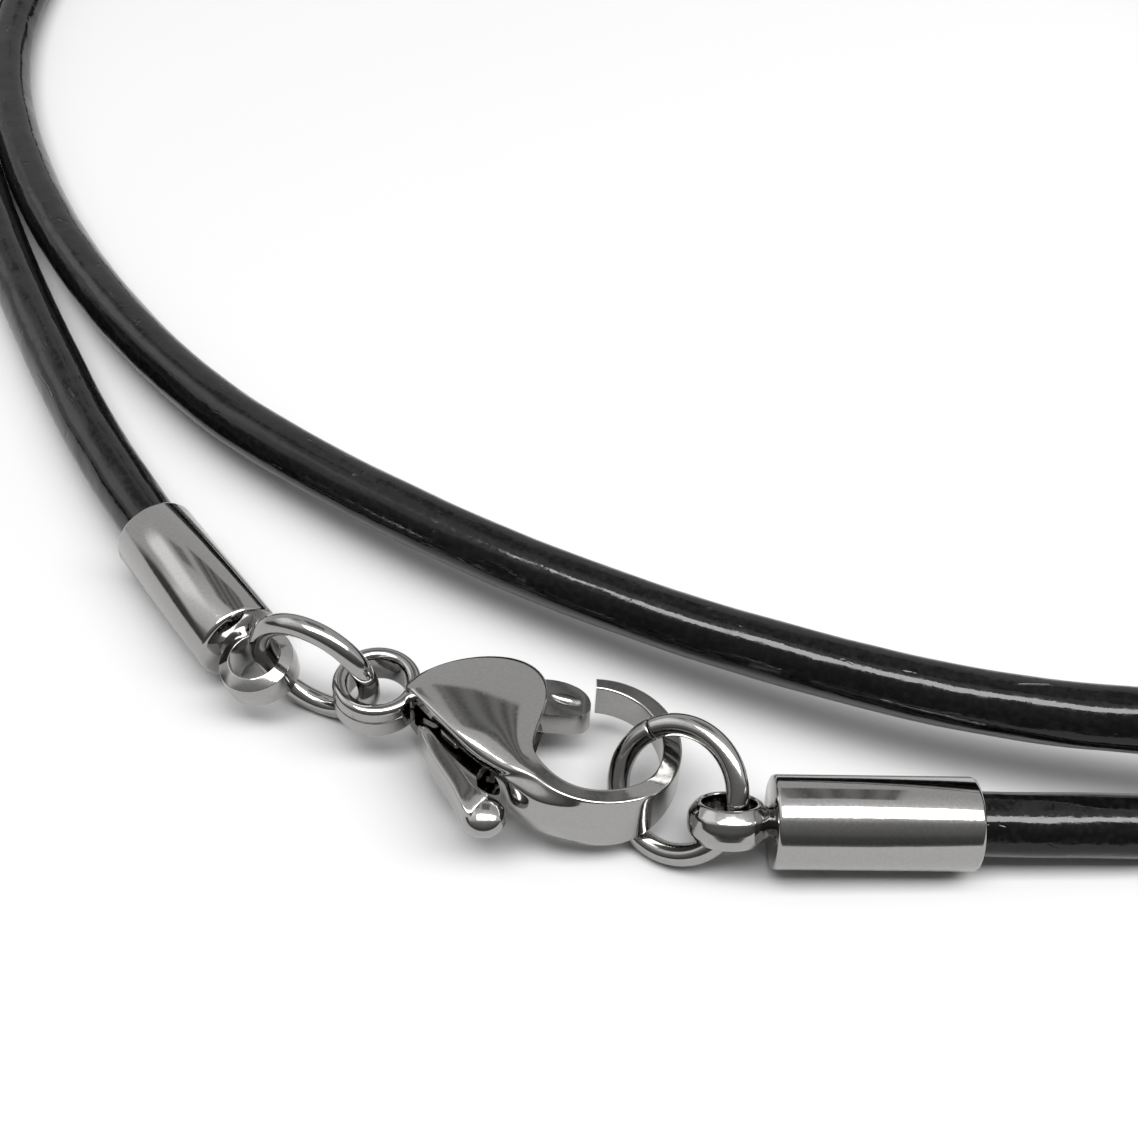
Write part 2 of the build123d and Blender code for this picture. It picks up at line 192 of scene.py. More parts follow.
# %% Control points of the cord
CORD_ROUTE = [
    (47.0, -3.6, 1.5),
    (56.5, 12.5, 1.5),
    (58.0, 34.0, 1.5),
    (56.0, 54.5, 1.5),
    (48.0, 71.0, 1.5),
    (31.5, 80.5, 1.5),
    (12.5, 85.3, 1.5),
    (-3.5, 86.5, 1.5),
    (-17.5, 85.4, 1.5),
    (-29.5, 79.9, 1.5),
    (-37.7, 71.8, 1.5),
    (-38.6, 60.0, 1.5),
    (-36.4, 48.8, 1.5),
    (-29.9, 34.4, 1.6),
    (-19.5, 20.2, 2.2),
    (-8.2, 11.0, 3.0),
    (5.2, 3.2, 3.4),
    (20.8, -3.3, 4.5),
    (31.1, -5.2, 5.8),
    (43.0, -7.3, 5.7),
    (54.0, -5.2, 2.9),
    (62.0, 3.5, 1.5),
    (64.8, 17.0, 1.5),
    (65.0, 34.5, 1.5),
    (61.0, 54.0, 1.5),
    (51.5, 71.0, 1.5),
    (35.5, 83.5, 1.5),
    (16.5, 89.4, 1.5),
    (-3.5, 90.7, 1.5),
    (-22.5, 89.3, 1.5),
    (-37.0, 81.2, 1.5),
    (-43.0, 67.5, 1.5),
    (-41.3, 53.8, 1.5),
    (-35.8, 39.4, 1.5),
    (-29.0, 25.7, 1.5),
]
CAP_MOUTH_POINT = 13.0  # from the middle of the right loop along its cap
FIRST_FREE_POINT = 23.0
LAST_FREE_POINT = 15.0  # from the middle of the left loop along its cap


def on_axis(loop, distance):
    return loop @ Vector((distance, 0, 0))


cord_points = [
    on_axis(right_loop, loop_reach + CAP_END_WALL),
    on_axis(right_loop, CAP_MOUTH_POINT),
    on_axis(right_loop, FIRST_FREE_POINT),
    *[Vector(point) for point in CORD_ROUTE],
    on_axis(left_loop, LAST_FREE_POINT),
    on_axis(left_loop, loop_reach + CAP_END_WALL),
]
curve_data = bpy.data.curves.new("cord_line", "CURVE")
curve_data.dimensions = "3D"
curve_data.resolution_u = 24
spline = curve_data.splines.new("NURBS")
spline.points.add(len(cord_points) - 1)
for spline_point, point in zip(spline.points, cord_points):
    spline_point.co = (*(point * MM), 1)
spline.order_u = 3
spline.use_endpoint_u = True
cord_line = bpy.data.objects.new("cord_line", curve_data)
line_mesh = bpy.data.meshes.new_from_object(cord_line)
cord_path = [vertex.co.copy() for vertex in line_mesh.vertices]
cord_length = sum((end - start).length for start, end in zip(cord_path, cord_path[1:]))
bpy.data.objects.remove(cord_line)
print("cord line:", len(cord_path), "points,", round(1000 * cord_length, 1), "mm")

# %% [markdown]
# ## The cord's skin
#
# A bevelled curve would give a perfect tube, and cut leather isn't one: it swells and thins a little
# along its length, and has soft flats with low ridges between them. One ridge faces the light, and
# so the cord shows a thin bright line where a perfect tube would show a broad one.
# The tube is a grid, rolled round the line ring by ring, with the flats and a soft noise on its
# radius. A cross-section that follows the line without twisting keeps the ridge and the grain
# straight. The UV map holds the length in millimetres and the turn round the cord.

# %% Roll a grid into the cord
CORD_SIDES = 60
SWELLING = 0.018  # share of the radius
SWELL_LENGTH = 0.004  # metres
FACETS = 6  # soft flats, with soft ridges between them
FACET_DEPTH = 0.018  # share of the radius
RIDGE_AT = 206.0  # degrees round from the bottom, where one ridge faces the light
RIDGE_WANDER = 9.0  # degrees
RIDGE_LENGTH = 0.003  # metres
SEAM_WITHIN = 1e-7  # metres


def smooth_frames(path):
    """The direction and an untwisted side of a line at each of its points."""
    frames = []
    side = Vector((0, 0, 1)).cross(path[1] - path[0]).normalized()
    for index, point in enumerate(path):
        before = path[max(index - 1, 0)]
        after = path[min(index + 1, len(path) - 1)]
        along = (after - before).normalized()
        side = (side - along * side.dot(along)).normalized()
        frames.append((point, along, side))
    return frames


def roll_cord(path, radius):
    """A closed tube round a line, with flats, swellings and its own UV map."""
    bm = bmesh.new()
    uv_layer = bm.loops.layers.uv.new("along_and_round")
    bmesh.ops.create_grid(bm, x_segments=CORD_SIDES, y_segments=len(path) - 1, size=1)
    bm.verts.ensure_lookup_table()
    bm.verts.index_update()
    places = {}
    distance = 0.0
    for row, (point, along, side) in enumerate(smooth_frames(path)):
        if row:
            distance += (point - path[row - 1]).length
        up = along.cross(side)
        wander = noise.noise(Vector((distance / RIDGE_LENGTH, 0, 0)))
        ridge = math.radians(RIDGE_AT + RIDGE_WANDER * wander)
        for column in range(CORD_SIDES + 1):
            turn = 2 * math.pi * column / CORD_SIDES
            outward = side * math.sin(turn) - up * math.cos(turn)
            swell = noise.noise((point + outward * radius) / SWELL_LENGTH)
            vert = bm.verts[row * (CORD_SIDES + 1) + column]
            facet = math.cos(FACETS * (turn - ridge)) * FACET_DEPTH
            vert.co = point + outward * radius * (1 + SWELLING * swell + facet)
            places[vert.index] = (distance / MM, column / CORD_SIDES)
    for face in bm.faces:
        for loop in face.loops:
            loop[uv_layer].uv = places[loop.vert.index]
    bmesh.ops.remove_doubles(bm, verts=bm.verts, dist=SEAM_WITHIN)
    rims = [edge for edge in bm.edges if edge.is_boundary]
    bmesh.ops.holes_fill(bm, edges=rims, sides=0)
    bmesh.ops.recalc_face_normals(bm, faces=bm.faces)
    return bm


print("cord has", FACETS, "flats and", CORD_SIDES, "sides")

# %% [markdown]
# ## From a mesh to a finished piece
#
# Every piece ends in the same way. Its mesh becomes an object, smooth except over sharp edges, with
# one material. Then it hangs on an empty for the body it rides on, so that the lever turns with its
# body while the rest stays.


# %% Finish a piece
def finish_piece(name, bm, material, body, sharp_above=None):
    """Turns a bmesh into an object that is smooth, finished, and rides on a body."""
    mesh = bpy.data.meshes.new(name)
    bm.to_mesh(mesh)
    bm.free()
    mesh.shade_smooth()
    if sharp_above is not None:
        mesh.set_sharp_from_angle(angle=math.radians(sharp_above))
    mesh.materials.append(material)
    piece = bpy.data.objects.new(name, mesh)
    bpy.context.collection.objects.link(piece)
    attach(piece, body)
    print(name, "has", len(mesh.polygons), "faces")
    return piece


# %% [markdown]
# ## Shader maths
#
# A material is a small program, and in nodes even a sum takes three clicks. This class wraps the
# output of a node, so that Python's own signs add the Math nodes, and one method makes any other
# node. The materials below then read like formulas.

# %% A class for shader maths
MIX_LOW = 6  # places of the Mix node's colour sockets, which share their names with others
MIX_HIGH = 7
MIX_RESULT = 2


class Signal:
    """The output of a node in a tree, or the tree alone where no socket is given."""

    def __init__(self, tree, socket=None):
        self.tree = tree
        self.socket = socket

    def node(self, kind, settings=None, inputs=None, output=0):
        """Any node: its settings are set first, then its sockets get values or links."""
        made = self.tree.nodes.new(kind)
        for name, value in (settings or {}).items():
            if name == "stops":
                ramp = made.color_ramp
                while len(ramp.elements) < len(value):
                    ramp.elements.new(1.0)
                for stop, (place, shade) in zip(ramp.elements, value):
                    stop.position = place
                    stop.color = (shade, shade, shade, 1)
            elif name == "interpolation":
                made.color_ramp.interpolation = value
            else:
                setattr(made, name, value)
        for name, value in (inputs or {}).items():
            socket = made.inputs[name]
            if isinstance(value, Signal):
                self.tree.links.new(value.socket, socket)
            else:
                socket.default_value = value
        return Signal(self.tree, made.outputs[output] if made.outputs else None)

    def maths(self, operation, *values):
        return self.node("ShaderNodeMath", {"operation": operation}, dict(enumerate(values)))

    def __add__(self, other):
        return self.maths("ADD", self, other)

    def __radd__(self, other):
        return self.maths("ADD", other, self)

    def __sub__(self, other):
        return self.maths("SUBTRACT", self, other)

    def __rsub__(self, other):
        return self.maths("SUBTRACT", other, self)

    def __mul__(self, other):
        return self.maths("MULTIPLY", self, other)

    def __rmul__(self, other):
        return self.maths("MULTIPLY", other, self)

    def __truediv__(self, other):
        return self.maths("DIVIDE", self, other)

    def __rtruediv__(self, other):
        return self.maths("DIVIDE", other, self)

    def between(self, low, high):
        """0 below low and 1 above high, with a soft step between."""
        settings = {"interpolation_type": "SMOOTHSTEP"}
        inputs = {"Value": self, "From Min": low, "From Max": high}
        return self.node("ShaderNodeMapRange", settings, inputs)

    def mix(self, low, high):
        """A colour between two greys or colours, by this signal."""
        inputs = {"Factor": self, MIX_LOW: low, MIX_HIGH: high}
        return self.node("ShaderNodeMix", {"data_type": "RGBA"}, inputs, output=MIX_RESULT)


# %% How a material starts and ends
def grey(shade):
    """A colour without any hue."""
    return (shade, shade, shade, 1)


def new_material(name):
    """A material, and its empty tree as a signal to start from."""
    material = bpy.data.materials.new(name)
    material.use_nodes = True
    material.node_tree.nodes.clear()
    tree = Signal(material.node_tree)
    return material, tree


def surface(tree, fixed, varying, normal):
    """Ends a material in one Principled shader, from even values and from what varies."""
    inputs = {**fixed, **varying, "Normal": normal}
    shader = tree.node("ShaderNodeBsdfPrincipled", {}, inputs)
    tree.node("ShaderNodeOutputMaterial", {}, {"Surface": shader})


# %% [markdown]
# ## Leather
#
# The cord is cut from hide, dyed black and sealed with a thin glossy finish. From above, the light
# draws one thin bright line along its ridge, and the grain breaks that line into a ragged thread. A
# bump on three scales does this: fine pores, creases that run along the cord, and slow dents. Where
# the creases are worn, fine cracks run between the cells of a Voronoi pattern.
# The UV map is rolled back into a straight cylinder first, so that no seam shows in the noise.

# %% Leather material
CREASE_STRETCH = 0.35  # how much slower the creases change along the cord than round it
PORE_DEPTH = 0.007  # depths in millimetres
CREASE_DEPTH = 0.024
DENT_DEPTH = 0.07
CRACK_DEPTH = 0.03
DEEP_BLACK = grey(0.0018)
WORN_BLACK = (0.0042, 0.004, 0.004, 1)

leather, tree = new_material("black_leather")
uv = tree.node("ShaderNodeUVMap", {"uv_map": "along_and_round"})
split = tree.node("ShaderNodeSeparateXYZ", {}, {0: uv})
along = Signal(tree.tree, split.socket.node.outputs[0])
turn = Signal(tree.tree, split.socket.node.outputs[1]) * (2 * math.pi)
cord_radius = CORD_DIAMETER / 2
around_x = turn.maths("COSINE", turn) * cord_radius
around_y = turn.maths("SINE", turn) * cord_radius
straight = tree.node("ShaderNodeCombineXYZ", {}, {0: along, 1: around_x, 2: around_y})
stretched = tree.node(
    "ShaderNodeCombineXYZ", {}, {0: along * CREASE_STRETCH, 1: around_x, 2: around_y}
)
pores = tree.node(
    "ShaderNodeTexNoise", {}, {"Vector": straight, "Scale": 3.2, "Detail": 3.0, "Roughness": 0.55}
)
creases = tree.node(
    "ShaderNodeTexNoise", {}, {"Vector": stretched, "Scale": 1.6, "Detail": 3.0, "Roughness": 0.5}
)
dents = tree.node("ShaderNodeTexNoise", {}, {"Vector": straight, "Scale": 0.45, "Detail": 1.0})
cells = tree.node(
    "ShaderNodeTexVoronoi",
    {"feature": "DISTANCE_TO_EDGE"},
    {"Vector": stretched, "Scale": 0.55},
)
worn = creases.between(0.60, 0.72)
cracks = (1 - cells.between(0.0, 0.03)) * worn
height = pores * PORE_DEPTH + creases * CREASE_DEPTH + dents * DENT_DEPTH - cracks * CRACK_DEPTH
relief = tree.node(
    "ShaderNodeBump", {}, {"Height": height, "Distance": 1.0 * MM, "Strength": 1.0}
)
shade = pores.between(0.35, 0.75).mix(DEEP_BLACK, WORN_BLACK)
surface(
    tree,
    {"IOR": 1.38},
    {"Base Color": shade, "Roughness": 0.04 + pores.between(0.42, 0.62) * 0.14},
    relief,
)
print("leather has", len(leather.node_tree.nodes), "nodes")

# %% Cord
cord = finish_piece(
    "cord_leather", roll_cord(cord_path, CORD_DIAMETER / 2 * MM), leather, "necklace"
)
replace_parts(cord, "leather_cord")
tuple(on_axis(right_loop, cap_reach) * MM)

# %% [markdown]
# ## Polished steel
#
# Polished stainless steel is a mirror, so its look comes from what stands round it. The material
# only adds what polishing leaves: a slightly warm grey, very fine marks that widen the reflections,
# and a soft waviness that bends them. The marks run round the turned caps and in all directions on
# the tumbled castings, so a noise without a direction is right for both from this distance.

# %% Steel material
WAVE_DEPTH = 0.02  # depths in millimetres
MARK_DEPTH = 0.0009
STEEL_DARK = (0.315, 0.31, 0.302, 1)
STEEL_LIGHT = (0.345, 0.34, 0.333, 1)

steel, tree = new_material("polished_steel")
place = tree.node("ShaderNodeTexCoord", {}, {}, output=3)
waves = tree.node("ShaderNodeTexNoise", {}, {"Vector": place, "Scale": 420.0, "Detail": 1.0})
marks = tree.node(
    "ShaderNodeTexNoise", {}, {"Vector": place, "Scale": 6500.0, "Detail": 4.0, "Roughness": 0.65}
)
relief = tree.node(
    "ShaderNodeBump",
    {},
    {"Height": waves * WAVE_DEPTH + marks * MARK_DEPTH, "Distance": 1.0 * MM, "Strength": 1.0},
)
tint = marks.between(0.3, 0.7).mix(STEEL_DARK, STEEL_LIGHT)
surface(
    tree,
    {"Metallic": 1.0},
    {"Base Color": tint, "Roughness": 0.07 + marks.between(0.35, 0.75) * 0.06},
    relief,
)
print("steel has", len(steel.node_tree.nodes), "nodes")

# %% [markdown]
# ## No knife edges
#
# Polished metal has no sharp edges or corners. One function rounds the corners of a flat face or the
# edges of a solid, and the rings, the caps and the clasp all use it.


# %% Rounded edges and corners
def round_off(bm, geom, kind, rounding, steps, clamp=True):
    """Rounds edges ("EDGES") or corners ("VERTICES"). The clamp holds back at short edges."""
    bmesh.ops.bevel(
        bm,
        geom=geom,
        offset=rounding,
        affect=kind,
        segments=steps,
        profile=0.5,
        material=-1,
        clamp_overlap=clamp,
    )


# %% [markdown]
# ## Jump rings
#
# A jump ring is one turn of round wire, sawn off a coil, so its two ends meet in a butt joint.
# A torus would have no joint. Here a circle is spun round the ring's axis, and stops just short of
# a full turn. The two ends are closed and their edges rounded, as barrel polishing rounds them.

# %% Jump rings
RING_CUT = 0.06  # the width of the saw
RING_STEPS = 120
WIRE_SIDES = 32
END_ROUNDING = 0.09
END_STEPS = 3


def make_jump_ring(name, place, cut_turn):
    """A ring of wire in its frame, with its joint turned by some degrees from X."""
    cut_angle = RING_CUT / ring_radius
    start = math.radians(cut_turn) + cut_angle / 2
    bm = bmesh.new()
    upright = Matrix.Translation((ring_radius, 0, 0)) @ Matrix.Rotation(math.pi / 2, 4, "X")
    wire = bmesh.ops.create_circle(
        bm, cap_ends=True, radius=RING_WIRE / 2, segments=WIRE_SIDES, matrix=upright
    )
    bmesh.ops.rotate(bm, verts=wire["verts"], cent=(0, 0, 0), matrix=Matrix.Rotation(start, 3, "Z"))
    bmesh.ops.spin(
        bm,
        geom=list(bm.verts) + list(bm.edges) + list(bm.faces),
        cent=(0, 0, 0),
        axis=(0, 0, 1),
        dvec=(0, 0, 0),
        angle=2 * math.pi - cut_angle,
        steps=RING_STEPS,
        use_merge=False,
    )
    bmesh.ops.remove_doubles(bm, verts=bm.verts, dist=MERGE_WITHIN)
    ends = [face for face in bm.faces if len(face.verts) == WIRE_SIDES]
    rims = [edge for face in ends for edge in face.edges]
    round_off(bm, rims, "EDGES", END_ROUNDING, END_STEPS)
    bmesh.ops.recalc_face_normals(bm, faces=bm.faces)
    bmesh.ops.transform(bm, matrix=IN_METRES @ place, verts=bm.verts)
    return finish_piece(name, bm, steel, "necklace", sharp_above=40)


ring_right_piece = make_jump_ring("ring_right_wire", right_ring, cut_turn=143.0)
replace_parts(ring_right_piece, "jump_ring_right")
ring_left_piece = make_jump_ring("ring_left_wire", left_ring, cut_turn=330.0)
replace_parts(ring_left_piece, "jump_ring_left")

# %% [markdown]
# ## End caps
#
# Each end cap is a turned tube with a blind bore for the cord, and a loop soldered on its end. Both
# are shapes of revolution, so each is a short profile that is spun: the tube round its own axis,
# and the loop round an axis across it. The solder between them is a small waisted neck.

# %% Profiles, and how they spin
SPIN_STEPS = 96
SECTION_STEPS = 5  # in each rounded corner


def spin_profile(bm, verts, edges, axis, steps):
    """Turns a profile all the way round an axis through the middle, and closes the seam."""
    bmesh.ops.spin(
        bm,
        geom=verts + edges,
        cent=(0, 0, 0),
        axis=axis,
        dvec=(0, 0, 0),
        angle=2 * math.pi,
        steps=steps,
        use_merge=True,
    )


def profile_line(bm, points):
    """A chain of edges in the X and Z plane."""
    verts = [bm.verts.new((x, 0, z)) for x, z in points]
    edges = [bm.edges.new(pair) for pair in zip(verts, verts[1:])]
    return verts, edges


def rounded_outline(bm, verts, rounding, steps):
    """Rounds the corners of the only flat face, and takes it away from inside its edges."""
    round_off(bm, verts, "VERTICES", rounding, steps)
    face = max(bm.faces, key=lambda candidate: candidate.calc_area())
    verts = list(face.verts)
    edges = list(face.edges)
    bmesh.ops.delete(bm, geom=[face], context="FACES_ONLY")
    return verts, edges


def wall_section(bm, outer_side, inner, rounding):
    """The outline of a ring from half the points of its outer side, in the X and Z plane."""
    half = [(inner, outer_side[0][1]), *outer_side]
    points = half + [(x, -z) for x, z in reversed(half) if z]
    verts = [bm.verts.new((x, 0, z)) for x, z in points]
    bmesh.ops.contextual_create(bm, geom=verts)
    return rounded_outline(bm, verts, rounding, SECTION_STEPS)


print("a full spin takes", SPIN_STEPS, "steps")

# %% End caps
CAP_EDGE = 0.2
EDGE_SHARE = 0.3  # the middle point of a rounded edge, as a share of the edge
LOOP_BARREL = 0.05  # how far the loop's outside falls off from its middle to the chamfer
SOLDER_DIAMETER = 1.5
SOLDER_INSIDE = 0.05
SOLDER_PROFILE = [(-0.16, 0.95), (-0.06, 1.12), (0.02, 1.5)]  # past the tube's end, and its width
RIGHT_CHAMFER = (0.42, 0.48)  # how far the loop's chamfer reaches in and down
LEFT_CHAMFER = (0.58, 0.30)


def make_end_cap(name, place, chamfer):
    """A tube with its loop and the solder between them, in one mesh."""
    radius = CAP_DIAMETER / 2
    bore = CAP_BORE / 2
    floor_at = loop_reach + CAP_END_WALL
    bm = bmesh.new()
    outline = [
        (loop_reach, 0),
        (loop_reach, radius - CAP_EDGE),
        (loop_reach + EDGE_SHARE * CAP_EDGE, radius - EDGE_SHARE * CAP_EDGE),
        (loop_reach + CAP_EDGE, radius),
        (cap_reach - CAP_EDGE, radius),
        (cap_reach - EDGE_SHARE * CAP_EDGE, radius - EDGE_SHARE * CAP_EDGE),
        (cap_reach, radius - CAP_EDGE),
        (cap_reach, bore + 0.5 * CAP_EDGE),
        (cap_reach - 0.5 * CAP_EDGE, bore),
        (floor_at, bore),
        (floor_at, 0),
    ]
    spin_profile(bm, *profile_line(bm, outline), (1, 0, 0), SPIN_STEPS)
    bmesh.ops.remove_doubles(bm, verts=bm.verts, dist=MERGE_WITHIN)
    loop_bm = bmesh.new()
    wall = (LOOP_DIAMETER - LOOP_HOLE) / 2
    rim = LOOP_DIAMETER / 2
    across, down = chamfer
    outer_side = [
        (rim - across, LOOP_HEIGHT / 2),
        (rim - LOOP_BARREL, LOOP_HEIGHT / 2 - down),
        (rim, 0),
    ]
    section = wall_section(loop_bm, outer_side, LOOP_HOLE / 2, LOOP_ROUNDING)
    spin_profile(loop_bm, *section, (0, 0, 1), SPIN_STEPS)
    bmesh.ops.remove_doubles(loop_bm, verts=loop_bm.verts, dist=MERGE_WITHIN)
    solder_bm = bmesh.new()
    waist = SOLDER_DIAMETER / 2
    solder = [
        (loop_reach - wall / 2, 0),
        (loop_reach - wall / 2, waist),
        *[(loop_reach + past, share * waist) for past, share in SOLDER_PROFILE],
        (loop_reach + SOLDER_INSIDE, 0),
    ]
    spin_profile(solder_bm, *profile_line(solder_bm, solder), (1, 0, 0), SPIN_STEPS // 2)
    bmesh.ops.remove_doubles(solder_bm, verts=solder_bm.verts, dist=MERGE_WITHIN)
    for part in (loop_bm, solder_bm):
        spare = bpy.data.meshes.new("spare")
        part.to_mesh(spare)
        part.free()
        bm.from_mesh(spare)
        bpy.data.meshes.remove(spare)
    bmesh.ops.recalc_face_normals(bm, faces=bm.faces)
    bmesh.ops.transform(bm, matrix=IN_METRES @ place, verts=bm.verts)
    return finish_piece(name, bm, steel, "necklace", sharp_above=50)


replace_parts(make_end_cap("cap_right_turned", right_loop, RIGHT_CHAMFER), "cord_end_right")
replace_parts(make_end_cap("cap_left_turned", left_loop, LEFT_CHAMFER), "cord_end_left")

# %% [markdown]
# ## Lobster clasp: the casting
#
# The clasp's body is one casting: a hollow teardrop shell that narrows, twists and runs on into the
# round hook. Boxes and cylinders can't give that flow, but ribs can. Each rib is a closed outline
# across the casting. The ribs are joined in a row into a coarse cage, and a subdivision surface
# makes the cage smooth. Where two points of a rib lie close together, the surface turns sharply
# there, so the rounding of every edge is set by the distance between its points.

# %% Ribs of the shell, in the frame of the clasp
# near and far are a rib's two ends seen from above, heights are its half heights there, crown is how
# far its top swells up, and rounds are the roundings of its two edges
SHELL_RIBS = [
    dict(near=(-9.55, -0.12), far=(-9.55, 0.12), heights=(1.10, 1.10), crown=0.00, rounds=(0.06, 0.06)),
    dict(near=(-9.36, -0.30), far=(-9.32, 0.38), heights=(1.38, 1.33), crown=0.04, rounds=(0.09, 0.13)),
    dict(near=(-9.00, -0.54), far=(-8.87, 1.12), heights=(1.54, 1.38), crown=0.13, rounds=(0.10, 0.20)),
    dict(near=(-8.40, -0.92), far=(-8.16, 2.06), heights=(1.60, 1.33), crown=0.25, rounds=(0.12, 0.40)),
    dict(near=(-7.60, -1.40), far=(-7.25, 2.87), heights=(1.64, 1.27), crown=0.37, rounds=(0.14, 0.56)),
    dict(near=(-6.80, -1.89), far=(-6.21, 3.46), heights=(1.65, 1.21), crown=0.46, rounds=(0.17, 0.68)),
    dict(near=(-6.00, -2.35), far=(-5.18, 3.73), heights=(1.64, 1.16), crown=0.52, rounds=(0.28, 0.74)),
    dict(near=(-5.30, -2.68), far=(-4.20, 3.57), heights=(1.62, 1.13), crown=0.55, rounds=(0.50, 0.76)),
    dict(near=(-4.65, -2.94), far=(-3.45, 2.94), heights=(1.60, 1.13), crown=0.53, rounds=(0.62, 0.70)),
    dict(near=(-4.10, -3.10), far=(-3.07, 1.95), heights=(1.60, 1.17), crown=0.47, rounds=(0.54, 0.54)),
    dict(near=(-3.65, -3.20), far=(-2.99, 0.87), heights=(1.61, 1.26), crown=0.38, rounds=(0.52, 0.34)),
    dict(near=(-3.28, -3.25), far=(-2.94, -0.13), heights=(1.63, 1.37), crown=0.28, rounds=(0.44, 0.22)),
    dict(near=(-2.94, -3.25), far=(-2.87, -1.03), heights=(1.66, 1.47), crown=0.18, rounds=(0.35, 0.15)),
    dict(near=(-2.52, -3.22), far=(-2.56, -1.85), heights=(1.69, 1.55), crown=0.08, rounds=(0.27, 0.12)),
]
# further down, the last four ribs reach out into the heel of the hook
SHELL_BULGES = {10: (-3.68, -3.27), 11: (-3.42, -3.46), 12: (-3.18, -3.74), 13: (-2.88, -4.00)}
for index, outer in SHELL_BULGES.items():
    SHELL_RIBS[index]["outer"] = outer
print("shell has", len(SHELL_RIBS), "ribs")

# %% Ribs of the hook
INSIDE_ROUNDING = 0.11  # the most that the hook's inner edges are rounded
# angle is measured round the hook's middle, ridge and inside from it, and bulge makes the heel
HOOK_RIBS = [
    dict(angle=-121.0, ridge=3.83, inside=2.96, height=1.70, drop=0.12, rounding=0.22, bulge=1.06),
    dict(angle=-112.0, ridge=3.79, inside=2.94, height=1.70, drop=0.12, rounding=0.20, bulge=0.98),
    dict(angle=-103.0, ridge=3.77, inside=2.94, height=1.70, drop=0.12, rounding=0.18, bulge=0.74),
    dict(angle=-93.0, ridge=3.76, inside=2.94, height=1.70, drop=0.12, rounding=0.17, bulge=0.46),
    dict(angle=-82.0, ridge=3.77, inside=2.94, height=1.70, drop=0.12, rounding=0.16, bulge=0.24),
    dict(angle=-68.0, ridge=3.80, inside=2.94, height=1.69, drop=0.11, rounding=0.15, bulge=0.10),
    dict(angle=-54.0, ridge=3.83, inside=2.94, height=1.65, drop=0.10, rounding=0.14, bulge=0.04),
    dict(angle=-42.0, ridge=3.85, inside=2.94, height=1.54, drop=0.09, rounding=0.13, bulge=0.02),
    dict(angle=-30.0, ridge=3.87, inside=2.94, height=1.36, drop=0.08, rounding=0.12, bulge=0.00),
    dict(angle=-18.0, ridge=3.87, inside=2.94, height=1.17, drop=0.07, rounding=0.12, bulge=0.00),
    dict(angle=-6.0, ridge=3.87, inside=2.94, height=1.03, drop=0.06, rounding=0.12, bulge=0.00),
    dict(angle=10.0, ridge=3.87, inside=2.96, height=1.00, drop=0.05, rounding=0.12, bulge=0.00),
    dict(angle=28.0, ridge=3.87, inside=2.99, height=1.00, drop=0.05, rounding=0.12, bulge=0.00),
    dict(angle=46.0, ridge=3.87, inside=3.04, height=1.00, drop=0.05, rounding=0.12, bulge=0.00),
    dict(angle=64.0, ridge=3.87, inside=3.10, height=1.00, drop=0.05, rounding=0.11, bulge=0.00),
    dict(angle=80.0, ridge=3.87, inside=3.16, height=1.00, drop=0.05, rounding=0.10, bulge=0.00),
    dict(angle=94.0, ridge=3.87, inside=3.22, height=1.00, drop=0.04, rounding=0.09, bulge=0.00),
    dict(angle=104.0, ridge=3.87, inside=3.27, height=1.00, drop=0.04, rounding=0.09, bulge=0.00),
    dict(angle=109.4, ridge=3.87, inside=3.29, height=1.00, drop=0.04, rounding=0.09, bulge=0.00),
    dict(angle=110.0, ridge=3.87, inside=3.29, height=1.00, drop=0.04, rounding=0.09, bulge=0.00),
]


def as_shell_rib(row):
    """A rib of the hook in the columns of the shell's ribs."""
    turn = math.radians(row["angle"])
    outwards = Vector((math.cos(turn), math.sin(turn)))
    return dict(
        near=outwards * row["ridge"],
        far=outwards * row["inside"],
        heights=(row["height"], row["height"] - row["drop"]),
        crown=0.0,
        rounds=(row["rounding"], min(row["rounding"], INSIDE_ROUNDING)),
        outer=outwards * (row["ridge"] + row["bulge"]),
    )


print("hook has", len(HOOK_RIBS), "ribs")

# %% From a rib to its outline
SIDE_HEIGHTS = (0.58, 0.73)  # of the points on the near side, as shares of its height
CORNER_SHARE = 0.18  # the middle point of a rounded corner, as a share of its rounding
UNDER_CORNER = 0.08  # the least distance from the near corner to the point below it
NEAR_SWELL = 0.24  # shares of the crown where the top starts and ends
FAR_SWELL = -0.14
TOP_POINTS = [(0.24, 0.61), (0.44, 0.59), (0.62, 0.36), (0.80, 0.04)]  # of the width, of the crown
PUSHES = [1.0, 0.66, 0.55, 0.08]  # how much of a bulge reaches the points from the middle upwards


